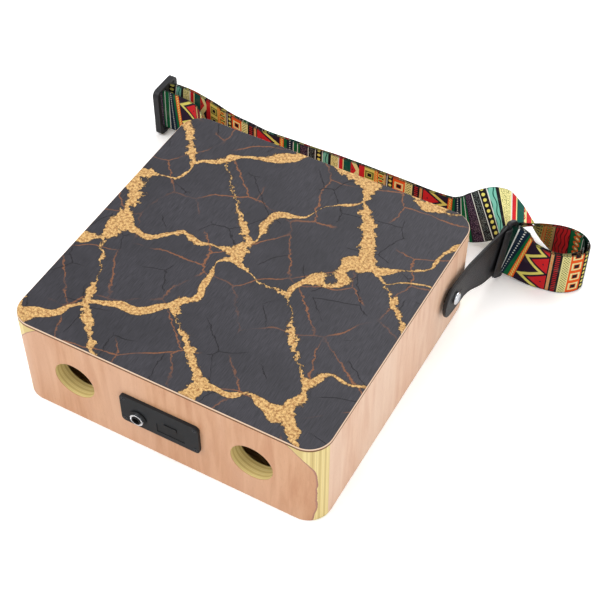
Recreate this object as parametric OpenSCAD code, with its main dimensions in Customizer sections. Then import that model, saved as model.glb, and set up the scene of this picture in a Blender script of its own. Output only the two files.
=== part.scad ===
// Lap cajon: a flat plywood box drum with a playing board on top, two sound
// ports and a built-in pickup in the front wall, snare wires and a piezo disc
// under the playing board, and a woven shoulder strap on two strap buttons.
// Origin: middle of the underside. X runs along the front, Y towards the back.

/* [Box] */
// Width of the box, along the front
box_w = 300; // [240:1:380]
// Depth of the box, front to back
box_d = 296; // [240:1:380]
// Height of the wooden walls, from the table to the playing board
wall_h = 97; // [80:1:140]
// Thickness of the plywood walls
wall_t = 15; // [9:0.5:20]
// Outside radius of the four upright corners
corner_r = 21.5; // [16:0.5:40]
// Thickness of the playing board
tapa_t = 3; // [2:0.5:6]
// Chamfer round the top edge of the playing board
tapa_chamfer = 1; // [0.3:0.1:1.5]
// Thickness of the base board
base_t = 4; // [3:0.5:8]
// Width of the rebate in the walls that takes the base board
rebate = 7; // [3:0.5:8]
// Side of the three-cornered glue block in each inner corner
block_leg = 20; // [12:1:26]

/* [Sound ports] */
// Diameter of each round sound port
port_d = 40; // [20:1:50]
// Distance of each port's centre from the middle of the front
port_x = 87; // [72:1:90]
// Height of the ports' centres above the table
port_z = 50; // [38:1:52]

/* [Pickup] */
// Width of the pickup's front plate
plate_w = 77; // [72:1:90]
// Height of the front plate
plate_h = 34; // [32:1:40]
// How far the front plate stands out from the wall
plate_t = 3; // [2:0.5:5]
// Corner radius of the front plate
plate_r = 4; // [2:0.5:6]
// Height of the plate's centre above the table
plate_z = 49; // [36:1:52]
// Distance of the plate screws from the plate's edges
plate_screw_inset = 3.7; // [3:0.1:4.5]
// Width of the case behind the plate
case_w = 62; // [60:1:64]
// Height of the case behind the plate
case_h = 24; // [24:1:25]
// Depth of the case, from the front of the wall
case_d = 30; // [29:1:40]
// Wall of the case
case_wall = 1.5; // [1:0.1:1.6]
// Distance of the jack's centre left of the plate's centre
jack_x = 21; // [19:0.5:22]
// Distance of the jack's centre below the plate's centre
jack_drop = 4.5; // [4:0.5:4.5]
// Bore of the quarter-inch jack socket
jack_bore = 6.5; // [6.4:0.1:6.8]
// Outside diameter of the threaded jack sleeve
jack_sleeve_d = 9; // [8.6:0.1:9.5]
// Width of the battery drawer's front
drawer_w = 26.5; // [26:0.5:28]
// Height of the battery drawer's front
drawer_h = 10; // [9:0.5:10.5]
// How far the battery drawer slides out
drawer_travel = 22; // [21:1:23]
// Diameter of the coin cell
cell_d = 20; // [16:1:20]
// Thickness of the coin cell
cell_t = 3.2; // [1.6:0.1:3.2]

/* [Snare and piezo] */
// Number of wires on each snare plate
snare_count = 10; // [6:1:14]
// Thickness of one snare wire
snare_wire_d = 1.2; // [0.8:0.1:1.6]
// Length of the snare wires
snare_len = 72; // [50:1:90]
// Diameter of the brass piezo disc
piezo_d = 27; // [20:1:35]

/* [Strap] */
// Width of the webbing
strap_w = 50; // [38:1:60]
// Thickness of one layer of webbing
strap_t = 1.4; // [1:0.1:2]
// Thickness of the leather end tabs
leather_t = 3.4; // [2.5:0.1:3.6]
// Width of a leather tab at the strap button
tab_w = 36; // [30:1:44]
// Distance of the strap buttons from the back of the box
button_y = 52; // [40:1:70]
// Height of the strap buttons above the table
button_z = 50; // [44:1:60]
// Diameter of a strap button's head
button_d = 12.5; // [11:0.5:15]
// Diameter of a strap button's waist
waist_d = 6.5; // [6:0.5:8]

/* [Hidden] */
$fn = 96;

fit = 0.3;                               // running clearance between moving pieces
front_y = -box_d / 2;                    // outer face of the front wall
rear_y = box_d / 2;                      // outer face of the rear wall
side_x = box_w / 2;                      // outer face of a side wall
inner_x = side_x - wall_t;               // inner face of a side wall
plate_front = front_y - plate_t;         // front face of the pickup plate
case_back = front_y + case_d;            // back of the pickup case
case_floor = plate_z - case_h / 2 + case_wall;
screw_hole_d = 2.2;                      // pilot holes of the small plate screws
tiny = 0.01;

// Battery drawer: its front's left edge and underside, and the tray behind it
drawer_x0 = -2.5;
drawer_z0 = plate_z - 11;
tray_side = 1;                           // the tray is this much narrower each side
tray_x0 = drawer_x0 + tray_side;
tray_w = drawer_w - 2 * tray_side;
tray_z0 = case_floor + fit;
tray_h = 6;
tray_hold = 2;                           // length of tray still in the case when out
tray_d = drawer_travel + tray_hold;
face_t = 2;                              // thickness of the drawer's front
cell_x = tray_x0 + tray_w / 2;
cell_y = front_y + 12.6;
cell_z = tray_z0 + tray_h - cell_t;
catch_w = 12;                            // finger catch above the drawer's front
catch_h = 4;
catch_x0 = drawer_x0 + 7.5;
catch_t = 0.8;                           // how far the catch stands out of the plate

// Jack: washer and nut in front of the plate, sleeve and body behind it
washer_d = 16;
washer_t = 1;
nut_d = 12.8;
nut_t = 2.6;
sleeve_in = 4;                           // how far the sleeve reaches behind the wall's face
jack_side = 11.4;

// Circuit board on its two ledges
board_z = plate_z + 3.4;
board_t = 1.2;
ledge = 2;

// Snare: rail across the box, plates on it, wires up to the playing board
rail_y = 10;
rail_w = 24;
rail_h = 14;
rail_drop = 9;                           // gap between rail and playing board
rail_top = wall_h - rail_drop;
snare_x = 62;                            // centre of each snare plate from the middle
snare_pitch = 4.2;
snare_plate_t = 1;
snare_plate_d = 14;
snare_rise = asin((rail_drop - snare_plate_t - 2 * snare_wire_d) / snare_len);
snare_plate_w = snare_pitch * snare_count + 4;

// Piezo disc and its lead, which is clipped under the playing board
piezo_x = 48;
piezo_y = -62;
piezo_t = 0.5;
lead_d = 1.8;
lead_path = [[12, case_back + 0.2, plate_z + 7], [12, case_back + 5, plate_z + 8],
             [13, case_back + 9, plate_z + 16], [15, case_back + 13, plate_z + 28],
             [18, case_back + 18, wall_h - 9], [23, case_back + 24, wall_h - 3],
             [28, case_back + 30, wall_h - 1.4], [34, case_back + 38, wall_h - 1.4],
             [40, case_back + 45, wall_h - 1.7]];
clips_on = [6, 7];                        // points of the lead that a clip holds

// Strap buttons, measured out from the side walls
felt_t = 1.2;
flange_t = 1.8;
waist_len = leather_t + 1;
head_t = 3;
leather_x = felt_t + flange_t + fit;     // inner face of the leather, from the wall
button_len = flange_t + waist_len + head_t;
screw_d = 3.6;
screw_tip_x = inner_x + 2;               // the screw stops short of the wall's inside
screw_head_t = 1.8;                      // depth of the head's seat in the button
felt_d = 15.6;
flange_r = 6.8;

// Ring and slider of the strap
ring_bar = 4.4;
ring_w = 15;
ring_lean = 26;                          // the ring's top leans back
ring_turn = 78;                          // and its plane turns a little outwards
slider_w = 36;
slider_bar = 5;
slider_t = 6.5;
slider_x = 77;                           // out from the left wall
slider_y = 65;                           // behind the rear wall
double_t = 2 * strap_t + 0.4;            // two layers of webbing lying together

// Leather tabs: the right one falls so that its ring just clears the ground
tab_run = 90;                            // button to the end of the right tab
tab_out = 9;                             // how far the right tab's end swings out
left_run = 70;
left_out = 6;
tab_flat = 22;                           // flat length behind the button
tip_len = 21;                            // leather in front of the button
ring_z = fit + (strap_w / 2 + ring_bar) * cos(ring_lean) + ring_w / 2 * sin(ring_lean);
tab_end_z = ring_z + (ring_w / 2 + fit) * sin(ring_lean);
tab_slope = asin((button_z - tab_end_z) / tab_run);

// Webbing routes: [side, x offset, y offset, height offset, lean]. A point lies at
// x = side * box_w / 2 + x offset and y = box_d / 2 + y offset. Lean turns the
// webbing about its own run, 0 being upright on its edge. The main route runs from
// the ring round the loop, turns over once with its upper edge level, and follows the
// rear wall to the slider.
main_route = [
    [1, 26.2, 45.6, 2.4, -26], [1, 31, 44.4, 1.4, -18], [1, 38, 43, 0.5, -9],
    [1, 47, 41.7, 0, -4], [1, 60, 41.5, 0, 0], [1, 73, 44, 0, 0],
    [1, 84, 51, 0, 0], [1, 89.5, 61, 0, 0], [1, 86, 71, 0, 0],
    [1, 76, 78, 0, 0], [1, 62, 81.5, 0, -6], [1, 46, 84, 1.5, -20],
    [1, 32, 85.5, 4.5, -35], [1, 22, 86.5, 8.5, -50], [1, 12, 86, 13.5, -67],
    [1, 2, 83, 17, -90], [1, -8, 77.5, 14.5, -114], [1, -19, 71.5, 8, -138],
    [1, -31, 66.5, 2.5, -160], [1, -43, 63.5, 0.3, -175], [1, -56, 62.2, 0, -180],
    [0, 60, 62, 0, -180], [0, 20, 62, 0, -180], [0, -20, 61.5, 0, -180],
    [0, -60, 60, 0, -180],
    [-1, 50, 58.5, 0, -180], [-1, 30, 59.5, 0, -180], [-1, 10, 62.5, 0, -180],
    [-1, -10, 67, 0, -180], [-1, -30, 72, 0, -180], [-1, -48, 75, 1, -180],
    [-1, -63, 74, 2, -180],
    [-1, -slider_x, slider_y + slider_bar / 2 + 3 * fit + double_t / 2,
     0.7 * slider_bar, -180]];
loop_end = 12;                           // points where one stretch meets the next
twist_end = 20;
back_end = 25;
tail_route = [
    [-1, -slider_x, slider_y - slider_bar / 2 - fit - strap_t / 2,
     0.7 * slider_bar, 0],
    [-1, -66, 60, 3, 0], [-1, -52, 58, 4, 0], [-1, -38, 55, 5, 0],
    [-1, -26, 49, 6.5, 0], [-1, -16, 39.5, 7.9, 0], [-1, -11.4, 28, 9.8, 0],
    [-1, -left_out - leather_x - leather_t / 2,
     left_run * cos(tab_slope) - button_y + 2 * fit, button_z - left_run * sin(tab_slope)
     - strap_w / 2 - fit, 0]];

// ---------------------------------------------------------------- helpers

// Rectangle with round corners, centred
module round_rect(w, h, r) {
    square([w - 2 * r, h], center = true);
    square([w, h - 2 * r], center = true);
    for (x = [-1, 1], y = [-1, 1])
        translate([x * (w / 2 - r), y * (h / 2 - r)]) circle(r);
}

// Upright plate facing the front: a 2D shape in X and Z, from y0 back to y0 + t
module facing(y0, t) {
    translate([0, y0 + t, 0]) rotate([90, 0, 0]) linear_extrude(t) children();
}

// Round bar or bore along Y, from y0 back to y1
module bar_y(x, z, d, y0, y1) {
    translate([x, y0, z]) rotate([-90, 0, 0]) cylinder(d = d, h = y1 - y0);
}

// Round bar or bore along X, from x0 to x1
module bar_x(y, z, d, x0, x1) {
    translate([x0, y, z]) rotate([0, 90, 0]) cylinder(d = d, h = x1 - x0);
}

// Centripetal blend of four points (Catmull-Rom), t from 0 to 1 between b and c
function blend(a, b, c, d, t) =
    0.5 * (2 * b + (c - a) * t + (2 * a - 5 * b + 4 * c - d) * t * t
           + (3 * b - a - 3 * c + d) * t * t * t);

// A route made finer: each gap between points is cut into n smooth steps
function smooth(p, n) = let (last = len(p) - 1)
    [for (i = [0 : last - 1], k = [0 : n - 1])
        blend(p[max(i - 1, 0)], p[i], p[i + 1], p[min(i + 2, last)], k / n), p[last]];

function unit(v) = v / norm(v);
function heading(p, i) = unit(p[min(i + 1, len(p) - 1)] - p[max(i - 1, 0)]);

// Solid swept along p, with the outline of ring(i) at each point
module skin(rings) {
    n = len(rings[0]);
    last = len(rings) - 1;
    polyhedron(
        points = [for (r = rings) each r],
        faces = [[for (k = [0 : n - 1]) k],
                 for (i = [0 : last - 1], k = [0 : n - 1]) let (a = i * n + k, b = i * n + (k + 1) % n)
                     each [[b, a, a + n], [b, a + n, b + n]],
                 [for (k = [n - 1 : -1 : 0]) last * n + k]]);
}

// Round tube along p
module tube(p, d, sides = 8) {
    skin([for (i = [0 : len(p) - 1])
        let (t = heading(p, i), s = unit(cross(t, [0.1, 0.2, 1])), u = cross(s, t))
        [for (k = [0 : sides - 1])
            p[i] + d / 2 * (cos(360 * k / sides) * s + sin(360 * k / sides) * u)]]);
}

// Flat band along a route from one of its points to another, its width across and
// its thickness through, with the route's leans
module band(route, from, to, thick, steps = 4) {
    fine = smooth([for (q = route)
        [q[0] * side_x + q[1], rear_y + q[2], strap_w / 2 + fit + q[3], q[4]]], steps);
    at = [for (q = fine) [q[0], q[1], q[2]]];
    skin([for (i = [from * steps : to * steps])
        let (t = heading(at, i), s = unit(cross(t, [0, 0, 1])), u = cross(s, t),
             across = cos(fine[i][3]) * u + sin(fine[i][3]) * s, through = cross(t, across))
        [for (c = [[-1, -1], [1, -1], [1, 1], [-1, 1]])
            at[i] + c[0] * strap_w / 2 * across + c[1] * thick / 2 * through]]);
}

// ---------------------------------------------------------------- box

module box_outline() round_rect(box_w, box_d, corner_r);

module base_recess() {
    lip = wall_t - rebate;
    linear_extrude(base_t) square([box_w - 2 * lip, box_d - 2 * lip], center = true);
}

// Playing board: printed plywood sheet with a chamfer round its top edge
module tapa() {
    c = tapa_chamfer;
    color([0.27, 0.26, 0.30]) translate([0, 0, wall_h]) {
        linear_extrude(tapa_t - c) box_outline();
        translate([0, 0, tapa_t - c]) {
            chamfered_run(box_w, box_d, c);
            rotate([0, 0, 90]) chamfered_run(box_d, box_w, c);
            for (x = [-1, 1], y = [-1, 1])
                translate([x * (side_x - corner_r), y * (rear_y - corner_r), 0])
                    cylinder(r1 = corner_r, r2 = corner_r - c, h = c);
        }
    }
}

// Top layer of the board between two corners, sloping in by c at both long edges
module chamfered_run(w, d, c) {
    run = w - 2 * corner_r;
    translate([-run / 2, 0, 0]) rotate([90, 0, 90]) linear_extrude(run)
        polygon([[-d / 2, 0], [d / 2, 0], [d / 2 - c, c], [c - d / 2, c]]);
}

// Rear wall: full width, its ends rounded to the box corners
module end_wall() {
    difference() {
        linear_extrude(wall_h) intersection() {
            box_outline();
            translate([0, rear_y - wall_t / 2]) square([box_w + 2, wall_t], center = true);
        }
        base_recess();
    }
}
module rear_wall() color([0.84, 0.66, 0.50]) end_wall();

module front_wall() {
    color([0.84, 0.66, 0.50]) difference() {
        mirror([0, 1, 0]) end_wall();
        for (x = [-port_x, port_x]) bar_y(x, port_z, port_d, front_y - 1, front_y + wall_t + 1);
        facing(front_y - 1, wall_t + 2)
            translate([0, plate_z]) square([case_w + 2 * fit, case_h + 2 * fit], center = true);
        for (s = plate_screw_places())
            bar_y(s[0], s[1], screw_hole_d, front_y - 1, front_y + 10);
    }
}

// Side wall: between the front and rear walls
module side_wall() {
    difference() {
        linear_extrude(wall_h) intersection() {
            box_outline();
            translate([side_x - wall_t / 2, 0])
                square([wall_t, box_d - 2 * wall_t], center = true);
        }
        base_recess();
        bar_x(button_yy(), button_z, screw_d, screw_tip_x - 0.5, side_x + 1);
    }
}
module left_wall() color([0.90, 0.72, 0.58]) mirror([1, 0, 0]) side_wall();
module right_wall() color([0.90, 0.72, 0.58]) side_wall();

module base_board() color([0.80, 0.65, 0.48]) base_recess();

module corner_blocks() {
    color([0.85, 0.72, 0.52])
        for (x = [0, 1], y = [0, 1]) mirror([x, 0, 0]) mirror([0, y, 0])
            translate([inner_x, rear_y - wall_t, base_t]) linear_extrude(wall_h - base_t)
                polygon([[0, 0], [-block_leg, 0], [0, -block_leg]]);
}

// ---------------------------------------------------------------- snare

module snare_rail() {
    color([0.82, 0.68, 0.48]) difference() {
        translate([-inner_x, rail_y - rail_w / 2, rail_top - rail_h])
            cube([2 * inner_x, rail_w, rail_h]);
        for (x = snare_screw_x())
            translate([x, rail_y, rail_top - 9]) cylinder(d = 2.4, h = 10);
    }
}

function snare_screw_x() = [for (s = [-1, 1], k = [-1, 1]) s * snare_x + k * snare_plate_w / 4];

module snare_plates() {
    color("silver") difference() {
        for (s = [-1, 1])
            translate([s * snare_x - snare_plate_w / 2, rail_y - snare_plate_d / 2, rail_top])
                cube([snare_plate_w, snare_plate_d, snare_plate_t]);
        for (x = snare_screw_x())
            translate([x, rail_y, rail_top - 1]) cylinder(d = 2.8, h = snare_plate_t + 2);
    }
}

// Wires soldered on the front of the plates, rising to touch the playing board
module snare_wires() {
    color([0.75, 0.76, 0.78]) for (s = [-1, 1], k = [0 : snare_count - 1])
        translate([s * snare_x + (k - (snare_count - 1) / 2) * snare_pitch,
                   rail_y - snare_plate_d / 2 + 2,
                   rail_top + snare_plate_t + snare_wire_d / 2])
            rotate([90 - snare_rise, 0, 0]) cylinder(d = snare_wire_d, h = snare_len, $fn = 16);
}

module snare_screws() {
    color("silver") for (x = snare_screw_x()) translate([x, rail_y, rail_top]) {
        translate([0, 0, -8]) cylinder(d = 2.4, h = 8 + snare_plate_t);
        translate([0, 0, snare_plate_t]) cylinder(d = 5, h = 1.6);
    }
}

// ---------------------------------------------------------------- piezo

// Brass disc with the smaller ceramic disc glued under it
module piezo_disc() {
    color([0.85, 0.68, 0.30]) translate([piezo_x, piezo_y, wall_h - piezo_t]) {
        cylinder(d = piezo_d, h = piezo_t);
        translate([0, 0, -0.3]) cylinder(d = piezo_d * 0.72, h = 0.3 + tiny);
    }
}

module piezo_lead() color([0.15, 0.15, 0.16]) tube(smooth(lead_path, 2), lead_d);

// Small saddle clips that hold the lead against the playing board
module lead_clips() {
    clip_w = 10;
    clip_d = 4;
    clip_h = lead_d + 1.8;
    groove = lead_d + 1.2;
    color([0.85, 0.85, 0.82]) for (i = clips_on)
        let (p = lead_path[i], t = heading(lead_path, i))
        translate([p[0], p[1], wall_h]) rotate([0, 0, -atan2(t[0], t[1])]) difference() {
            translate([-clip_w / 2, -clip_d / 2, -clip_h]) cube([clip_w, clip_d, clip_h]);
            translate([-groove / 2, -clip_d, -groove]) cube([groove, 2 * clip_d, 2 * groove]);
        }
}

// ---------------------------------------------------------------- pickup

function plate_screw_places() =
    [for (x = [-1, 1], z = [-1, 1])
        [x * (plate_w / 2 - plate_screw_inset), plate_z + z * (plate_h / 2 - plate_screw_inset)]];

module pickup_plate() {
    color([0.12, 0.12, 0.13]) difference() {
        facing(plate_front, plate_t) translate([0, plate_z]) round_rect(plate_w, plate_h, plate_r);
        bar_y(-jack_x, jack_z(), jack_sleeve_d + 2 * fit, plate_front - 1, front_y + 1);
        facing(plate_front - 1, plate_t + 2) drawer_front(fit);
        for (s = plate_screw_places()) {
            bar_y(s[0], s[1], screw_hole_d + 0.4, plate_front - 1, front_y + 1);
            bar_y(s[0], s[1], 4.6, plate_front - 1, plate_front + 1.2);
        }
    }
}
function jack_z() = plate_z - jack_drop;

// Outline of the drawer's front with its finger catch, grown by g all round
module drawer_front(g) {
    translate([drawer_x0 - g, drawer_z0 - g]) square([drawer_w + 2 * g, drawer_h + 2 * g]);
    translate([catch_x0 - g, drawer_z0 + drawer_h - tiny])
        square([catch_w + 2 * g, catch_h + g]);
}

module plate_screws() {
    color("silver") for (s = plate_screw_places()) difference() {
        union() {
            bar_y(s[0], s[1], screw_hole_d, plate_front + 0.3, front_y + 9);
            bar_y(s[0], s[1], 4.2, plate_front - 0.2, plate_front + 1.2);
        }
        for (a = [0, 90]) translate([s[0], plate_front, s[1]]) rotate([0, a, 0])
            cube([2.4, 1.2, 0.5], center = true);
    }
}

// Case open at the front, with ledges for the circuit board and rails for the tray
module pickup_case() {
    inner_w = case_w - 2 * case_wall;
    inner_h = case_h - 2 * case_wall;
    color([0.13, 0.13, 0.14]) difference() {
        union() {
            difference() {
                facing(front_y, case_d) translate([0, plate_z]) square([case_w, case_h], center = true);
                facing(front_y - 1, case_d - case_wall + 1)
                    translate([0, plate_z]) square([inner_w, inner_h], center = true);
            }
            for (x = [-inner_w / 2 - tiny, inner_w / 2 - ledge])
                translate([x, front_y + 2, board_z - 1.6])
                    cube([ledge + tiny, case_d - 3, 1.6]);
            for (x = [tray_x0 - fit - 1.2, tray_x0 + tray_w + fit])
                translate([x, front_y + 1, case_floor - tiny]) cube([1.2, 24, 4]);
        }
        bar_y(lead_path[0][0], lead_path[0][2], lead_d + 0.4, case_back - 3, case_back + 1);
    }
}

module circuit_board() {
    w = case_w - 2 * case_wall - 0.6;
    color([0.08, 0.36, 0.22]) translate([-w / 2, front_y + 3, board_z]) {
        cube([w, 24, board_t]);
        translate([10, 6, board_t]) cube([6, 5, 1.6]);
        translate([22, 8, board_t]) cube([5, 4, 1.4]);
        translate([34, 5, board_t]) cube([3, 6, 2]);
        translate([44, 14, board_t]) cylinder(d = 5, h = 4.4);
        translate([8, 16, board_t]) cylinder(d = 4, h = 4);
    }
}

// Threaded sleeve that a quarter-inch plug goes into
module jack_sleeve() {
    color([0.85, 0.86, 0.88]) difference() {
        bar_y(-jack_x, jack_z(), jack_sleeve_d,
              plate_front - washer_t - nut_t - 0.6, front_y + sleeve_in);
        bar_y(-jack_x, jack_z(), jack_bore, plate_front - 5, front_y + sleeve_in + 1);
    }
}

module jack_washer() {
    color([0.1, 0.1, 0.1]) difference() {
        bar_y(-jack_x, jack_z(), washer_d, plate_front - washer_t, plate_front);
        bar_y(-jack_x, jack_z(), jack_sleeve_d + 0.2, plate_front - 2, plate_front + 1);
    }
}

// Round chrome nut with two spanner slots
module jack_nut() {
    color([0.88, 0.89, 0.9]) difference() {
        bar_y(-jack_x, jack_z(), nut_d, plate_front - washer_t - nut_t, plate_front - washer_t);
        bar_y(-jack_x, jack_z(), jack_sleeve_d + 0.1, plate_front - 5, plate_front);
        translate([-jack_x, plate_front - washer_t - nut_t, jack_z()])
            cube([nut_d + 2, 1.6, 1.4], center = true);
    }
}

module jack_body() {
    color([0.16, 0.16, 0.17]) difference() {
        translate([-jack_x - jack_side / 2, front_y + sleeve_in, jack_z() - jack_side / 2])
            cube([jack_side, 21, jack_side]);
        bar_y(-jack_x, jack_z(), 7.4, front_y + 3, front_y + 23);
        translate([-jack_x - 1.3, front_y + 8, jack_z() + 2]) cube([2.6, 14, 5]);
        translate([-jack_x - 1.3, front_y + 8, jack_z() - 6]) cube([2.6, 14, 4]);
    }
}

// Tip and sleeve springs in the slots of the jack body
module jack_springs() {
    color([0.85, 0.7, 0.35]) {
        translate([-jack_x - 1.2, front_y + 8.1, jack_z() + 4]) cube([2.4, 13.8, 0.4]);
        translate([-jack_x - 1.2, front_y + 8.1, jack_z() - 4.6]) cube([2.4, 13.8, 0.4]);
    }
}

// Drawer: front with a finger catch, and a tray with a round pocket open at the back
module battery_drawer() {
    color([0.14, 0.14, 0.15]) {
        facing(plate_front + 0.4, face_t) drawer_front(0);
        facing(plate_front - catch_t, catch_t + 1) translate([catch_x0, drawer_z0 + drawer_h])
            square([catch_w, catch_h]);
        difference() {
            translate([tray_x0, plate_front + 0.4 + face_t - tiny, tray_z0])
                cube([tray_w, tray_d + front_y - plate_front - 0.4 - face_t, tray_h]);
            translate([cell_x, cell_y, cell_z]) cylinder(d = cell_d + 2 * fit, h = 10);
            translate([cell_x - cell_d / 3, cell_y, cell_z])
                cube([cell_d * 2 / 3, cell_d, 10]);
        }
    }
}

module coin_cell() {
    color([0.8, 0.8, 0.8]) translate([cell_x, cell_y, cell_z]) {
        cylinder(d = cell_d - 1.6, h = 0.5);
        translate([0, 0, 0.4]) cylinder(d = cell_d, h = cell_t - 0.4);
    }
}

// Spring leaves from the circuit board down to the cell's top and rim
module cell_contacts() {
    top = tray_z0 + tray_h + fit;
    color([0.85, 0.78, 0.5]) {
        translate([cell_x - 2.5, cell_y - 4, top]) cube([5, 8, 0.3]);
        translate([cell_x - 2.5, cell_y + 4 - tiny, top]) cube([5, 0.4, board_z - top]);
        translate([cell_x - 2.5, front_y + tray_d + fit, cell_z]) cube([5, 0.4, board_z - cell_z]);
    }
}

// ---------------------------------------------------------------- strap buttons

function button_yy() = rear_y - button_y;

// Turned button: flange on the felt, waist that carries the leather, domed head
module strap_button() {
    translate([side_x + felt_t, button_yy(), button_z]) rotate([0, 90, 0]) difference() {
        rotate_extrude() polygon(concat(
            [[0, 0], [flange_r, 0], [flange_r, flange_t - 0.6], [flange_r - 0.6, flange_t],
             [waist_d / 2 + 0.4, flange_t]],
            [[waist_d / 2, flange_t + 0.4], [waist_d / 2, flange_t + waist_len]],
            [[button_d / 2 - 0.5, flange_t + waist_len],
             [button_d / 2, flange_t + waist_len + 0.5]],
            [for (a = [0 : 15 : 60]) [button_d / 2 * cos(a),
                flange_t + waist_len + 1 + (head_t - 1) * sin(a) / sin(60)]],
            [[0, button_len]]));
        translate([0, 0, -1]) cylinder(d = screw_d + 0.4, h = button_len + 2);
        translate([0, 0, button_len - screw_head_t]) cylinder(d = 6.2, h = 3);
    }
}
module button_right() color([0.86, 0.87, 0.89]) strap_button();
module button_left() color([0.86, 0.87, 0.89]) mirror([1, 0, 0]) strap_button();

module button_screws() {
    head = side_x + felt_t + button_len - screw_head_t;
    color([0.8, 0.81, 0.83]) for (m = [0, 1]) mirror([m, 0, 0]) difference() {
        union() {
            bar_x(button_yy(), button_z, screw_d, screw_tip_x, head + 0.5);
            bar_x(button_yy(), button_z, 5.8, head, head + 1.4);
        }
        for (a = [0, 90]) translate([head + 1.4, button_yy(), button_z]) rotate([a, 0, 0])
            cube([1.2, 3.6, 0.8], center = true);
    }
}

module felt_washers() {
    color([0.1, 0.1, 0.1]) for (m = [0, 1]) mirror([m, 0, 0]) difference() {
        bar_x(button_yy(), button_z, felt_d, side_x, side_x + felt_t);
        bar_x(button_yy(), button_z, screw_d + 0.4, side_x - 1, side_x + felt_t + 1);
    }
}

// ---------------------------------------------------------------- leather tabs

// A leather tab's face, button at the origin, running back along +X of the sheet. Its
// far end is cut askew, by skew at each corner.
module tab_outline(run, skew) {
    difference() {
        union() {
            circle(d = tab_w);
            translate([-(tip_len - tab_w / 2), 0]) circle(d = tab_w);
            translate([-(tip_len - tab_w / 2), -tab_w / 2])
                square([run * 0.4 + tip_len - tab_w / 2, tab_w]);
            polygon([[run * 0.4 - tiny, -tab_w / 2], [run * 0.8, -strap_w / 2],
                     [run - skew, -strap_w / 2], [run + skew, strap_w / 2],
                     [run * 0.8, strap_w / 2], [run * 0.4 - tiny, tab_w / 2]]);
        }
        circle(d = waist_d + 2 * fit);
        translate([0, -0.8]) square([13, 1.6]);
        translate([13, 0]) circle(d = 3);
    }
}

// Tab bent outwards: its face cut through a band that curves away from the wall
module leather_tab(run, out, skew) {
    x0 = side_x + leather_x;
    y0 = button_yy();
    curve = [for (k = [0 : 8]) let (u = k / 8)
        [x0 + out * u * u * (3 - 2 * u), y0 + tab_flat + (run - tab_flat + skew + 2) * u]];
    intersection() {
        translate([0, 0, button_z - 90]) linear_extrude(150) polygon(concat(
            [[x0, y0 - tip_len - 5]], curve,
            [for (k = [8 : -1 : 0]) curve[k] + [leather_t, 0]],
            [[x0 + leather_t, y0 - tip_len - 5]]));
        translate([side_x, y0, button_z]) rotate([-tab_slope, 0, 0])
            rotate([90, 0, 90]) linear_extrude(leather_x + out + leather_t + 5) tab_outline(run, skew);
    }
}
module tab_right() color([0.09, 0.09, 0.10])
    leather_tab(tab_run, tab_out, strap_w / 2 * tan(ring_lean - tab_slope));
module tab_left() color([0.09, 0.09, 0.10]) mirror([1, 0, 0]) leather_tab(left_run, left_out, 0);

// ---------------------------------------------------------------- ring, slider

// Rectangular ring between the right tab and the webbing
module strap_ring() {
    reach = ring_w / 2 + fit;
    color([0.08, 0.08, 0.09])
        translate([side_x + leather_x + tab_out + leather_t / 2 + reach * cos(ring_turn),
                   button_yy() + tab_run * cos(tab_slope) + reach * cos(ring_lean), ring_z])
            rotate([-ring_lean, 0, 0]) rotate([90, 0, ring_turn])
                linear_extrude(ring_bar, center = true) difference() {
                    round_rect(ring_w, strap_w + 2 * ring_bar, 3.5);
                    round_rect(ring_w - 2 * ring_bar, strap_w + 1, 1.5);
                }
}

// Three-bar slider, standing on its edge at the far left end of the strap
module strap_slider() {
    slot = (slider_w - 3 * slider_bar) / 2;
    height = strap_w + 1.4 * slider_bar;
    color([0.09, 0.09, 0.10])
        translate([-side_x - slider_x, rear_y + slider_y, height / 2 + fit])
            rotate([90, 0, 90]) linear_extrude(slider_t, center = true) difference() {
                round_rect(slider_w, height, 6);
                for (s = [-1, 1]) translate([s * (slot + slider_bar) / 2, 0])
                    square([slot, strap_w + 1], center = true);
            }
}

// ---------------------------------------------------------------- webbing

module woven() color([0.16, 0.42, 0.26]) children();

module webbing_loop() woven() band(main_route, 0, loop_end, double_t);
module webbing_twist() woven() band(main_route, loop_end, twist_end, double_t);
module webbing_back() woven() band(main_route, twist_end, back_end, double_t);
module webbing_rear_left() woven() band(main_route, back_end, len(main_route) - 1, double_t);
module webbing_tail() woven() band(tail_route, 0, len(tail_route) - 1, strap_t);

tapa();
front_wall();
rear_wall();
left_wall();
right_wall();
base_board();
corner_blocks();
snare_rail();
snare_plates();
snare_wires();
snare_screws();
piezo_disc();
piezo_lead();
lead_clips();
pickup_plate();
plate_screws();
pickup_case();
circuit_board();
jack_sleeve();
jack_washer();
jack_nut();
jack_body();
jack_springs();
battery_drawer();
coin_cell();
cell_contacts();
button_left();
button_right();
button_screws();
felt_washers();
tab_left();
tab_right();
strap_ring();
strap_slider();
webbing_loop();
webbing_twist();
webbing_back();
webbing_rear_left();
webbing_tail();
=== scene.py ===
"""The looks of a flat travel cajon: plywood box, printed playing board, pickup, woven strap.

Everything is in metres in the frame's own axes: X along the front, Y to the back, Z up.
"""
import math
import bmesh
import bpy
import numpy as np
from mathutils import Matrix, Vector


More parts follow.
